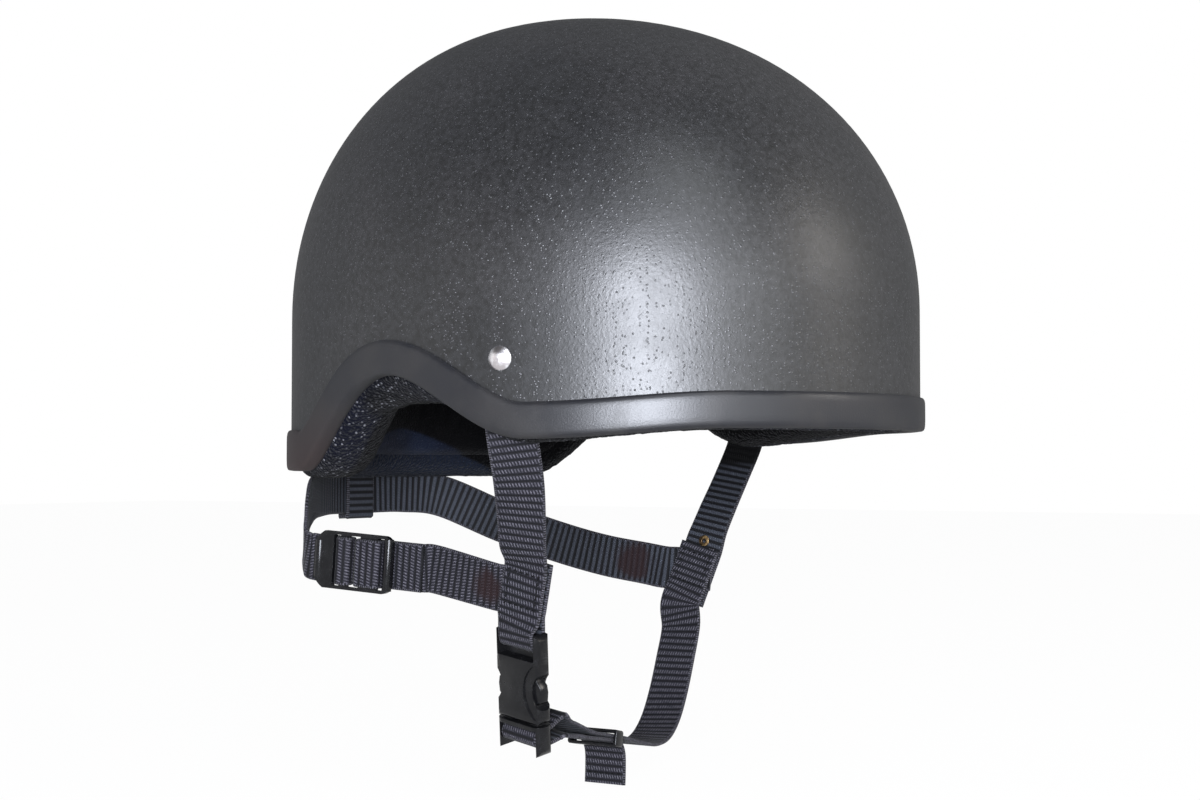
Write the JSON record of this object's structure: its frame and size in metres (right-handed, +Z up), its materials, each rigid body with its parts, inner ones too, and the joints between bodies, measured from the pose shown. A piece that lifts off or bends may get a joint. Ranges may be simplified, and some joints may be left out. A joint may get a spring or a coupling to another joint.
{
  "type": "riding helmet",
  "caption": "Riding helmet with a deep textured bowl shell, ear arches, rubber edge trim, padded inside and a four-point webbing harness with side-release buckle.",
  "frame": {"origin": "centre of the head opening, in the plane of the brow edge", "axes": "-Y is the way the wearer faces, -X is the wearer's right, +Z points up to the crown"},
  "size_m": [0.2358, 0.2881, 0.3317],
  "materials": {
    "shell": "satin textured paint",
    "trim": "satin",
    "foam": "matt foam",
    "pile": "loop pile",
    "navy": "brushed knit",
    "rivet": "satin",
    "webbing": "woven nylon",
    "nylon": "satin moulded",
    "brass": "dull"
  },
  "bodies": {
    "helmet": {"shell": "shell", "edge_trim": "trim", "impact_liner": "foam", "comfort_lining": "pile", "crown_pad": "pile", "brow_pad": "pile", "nape_pad": "navy", "temple_pad_right": "pile", "temple_pad_left": "pile", "rivet_right": "rivet", "rivet_left": "rivet", "rivet_rear": "rivet", "washer_right": "rivet", "washer_left": "rivet", "washer_rear": "rivet", "side_strap_right": "webbing", "side_strap_left": "webbing", "strap_eyelet": "brass", "nape_hanger": "webbing", "nape_strap": "webbing", "rear_strap_right": "webbing", "buckle_socket": "nylon", "chin_strap": "webbing", "chin_strap_tail": "webbing"},
    "adjuster": {"adjuster_frame": "nylon", "adjuster_wrap": "webbing"},
    "buckle_plug": {"buckle_plug": "nylon", "chin_loop": "webbing"},
    "latch_front": {"latch_arm_front": "nylon"},
    "latch_rear": {"latch_arm_rear": "nylon"},
    "keeper": {"strap_keeper": "nylon"}
  },
  "joints": [
    {"name": "plug_pull", "type": "slide", "parent": "helmet", "child": "buckle_plug", "axis": [0.1815, 0.0775, -0.9803], "range_m": [0, 0.03], "deforming": ["chin_strap", "chin_strap_tail", "latch_arm_front", "latch_arm_rear"]},
    {"name": "latch_press_front", "type": "hinge", "parent": "buckle_plug", "child": "latch_front", "pos_m": [-0.0688, -0.01165, -0.11605], "axis": [-0.954, 0.2556, -0.1564], "range_deg": [0, 12], "stiffness_Nm_per_rad": 0.05},
    {"name": "latch_press_rear", "type": "hinge", "parent": "buckle_plug", "child": "latch_rear", "pos_m": [-0.06518, 0.003, -0.11422], "axis": [0.954, -0.2556, 0.1564], "range_deg": [0, 12], "stiffness_Nm_per_rad": 0.05},
    {"name": "adjuster_slide", "type": "slide", "parent": "helmet", "child": "adjuster", "axis": [0.0696, -0.9951, -0.0698], "range_m": [-0.004, 0.015], "deforming": ["nape_strap", "rear_strap_right"]},
    {"name": "keeper_slide", "type": "slide", "parent": "helmet", "child": "keeper", "axis": [0.9767, 0, -0.2147], "range_m": [-0.01, 0]}
  ],
  "couplings": [
    {"joint": "latch_press_rear", "follows": "latch_press_front", "ratio": 1}
  ]
}
